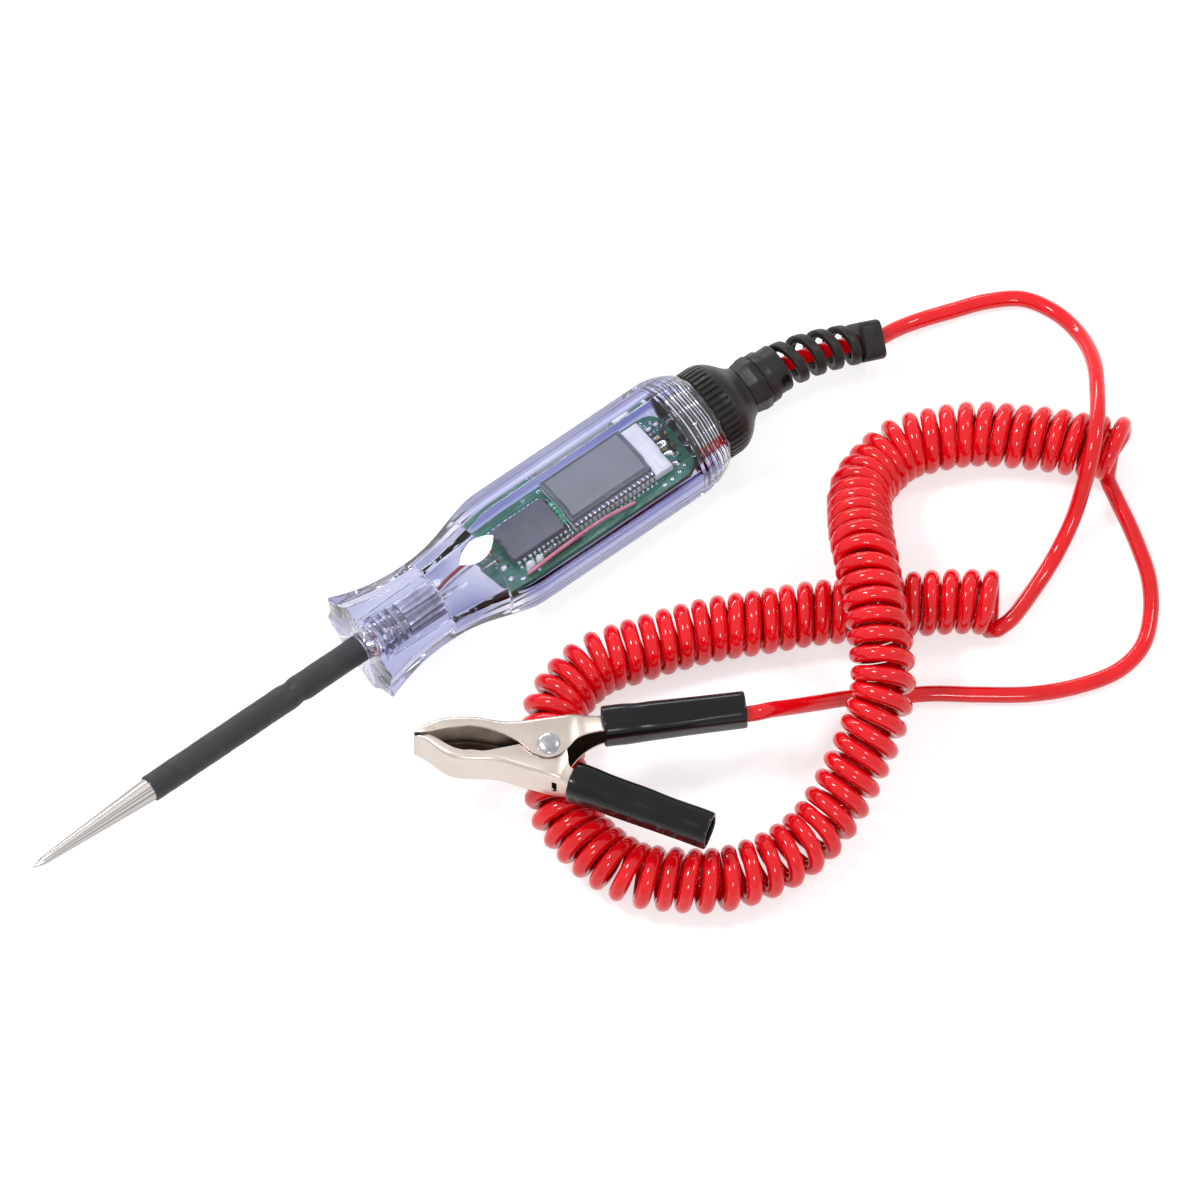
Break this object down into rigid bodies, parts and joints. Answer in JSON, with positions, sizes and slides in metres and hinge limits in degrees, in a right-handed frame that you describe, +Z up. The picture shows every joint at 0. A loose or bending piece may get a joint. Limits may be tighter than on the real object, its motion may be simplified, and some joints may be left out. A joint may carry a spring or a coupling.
{
  "type": "circuit tester",
  "caption": "Needle probe with a clear octagonal handle that holds a display board, a screw cap, and a curly lead with a sprung crocodile clip.",
  "frame": {"origin": "on the surface under the middle of the needle, handle and cap", "axes": "+X from the needle's tip towards the lead, +Z up"},
  "size_m": [0.281, 0.1212, 0.0316],
  "materials": {
    "clear_plastic": "polished clear plastic with a faint violet tint",
    "needle_steel": "ground and plated",
    "shrink_sleeve": "matte heat-shrink tubing",
    "board_green": "glossy green solder mask",
    "display_film": "grey polarising film",
    "display_glass": "clear",
    "white_plastic": "satin white",
    "black_plastic": "satin black",
    "tinned_metal": "tinned",
    "tan_ceramic": "fired ceramic",
    "green_lacquer": "lacquered",
    "red_cord": "glossy",
    "dark_wire": "glossy",
    "clip_nickel": "nickel plated",
    "rivet_steel": "bright plated",
    "sleeve_black": "glossy soft plastic"
  },
  "bodies": {
    "tester": {"handle_shell": "clear_plastic", "probe_needle": "needle_steel", "probe_sleeve": "shrink_sleeve", "probe_wire": "red_cord", "circuit_board": "board_green", "backlight_slab": "white_plastic", "lcd_glass": "display_glass", "lcd_film": "display_film", "lcd_pins": "tinned_metal", "controller_chip": "black_plastic", "chip_pins": "tinned_metal", "board_resistor": "green_lacquer", "indicator_leds": "white_plastic", "header_block": "black_plastic", "header_pins": "tinned_metal", "surface_parts": "tan_ceramic", "solder_joints": "tinned_metal", "bridge_wire": "red_cord", "lead_wire": "dark_wire"},
    "lead": {"strain_relief": "black_plastic", "cable_stop": "tinned_metal", "lead_tail_handle": "red_cord", "lead_curl": "red_cord", "lead_tail_clip": "red_cord", "clip_fixed_jaw": "clip_nickel", "clip_rivet": "rivet_steel", "clip_spring": "needle_steel", "clip_fixed_sleeve": "sleeve_black", "wire_crimp": "tinned_metal"},
    "cap": {"end_cap": "black_plastic"},
    "moving_jaw": {"clip_moving_jaw": "clip_nickel", "clip_moving_sleeve": "sleeve_black"}
  },
  "joints": [
    {"name": "cap_travel", "type": "slide", "parent": "tester", "child": "lead", "axis": [1, 0, 0], "range_m": [0, 0.009]},
    {"name": "cap_turn", "type": "hinge", "parent": "lead", "child": "cap", "pos_m": [0.1, 0, 0.0143], "axis": [1, 0, 0], "range_deg": [0, 2160]},
    {"name": "jaw_open", "type": "hinge", "parent": "lead", "child": "moving_jaw", "pos_m": [0.0078, -0.0518, 0.0236], "axis": [0, 0, 1], "range_deg": [0, 30], "stiffness_Nm_per_rad": 0.6, "springref_deg": -20.05, "deforming": ["clip_spring"]}
  ],
  "couplings": [
    {"joint": "cap_turn", "follows": "cap_travel", "rad_per_m": 4188.8}
  ]
}
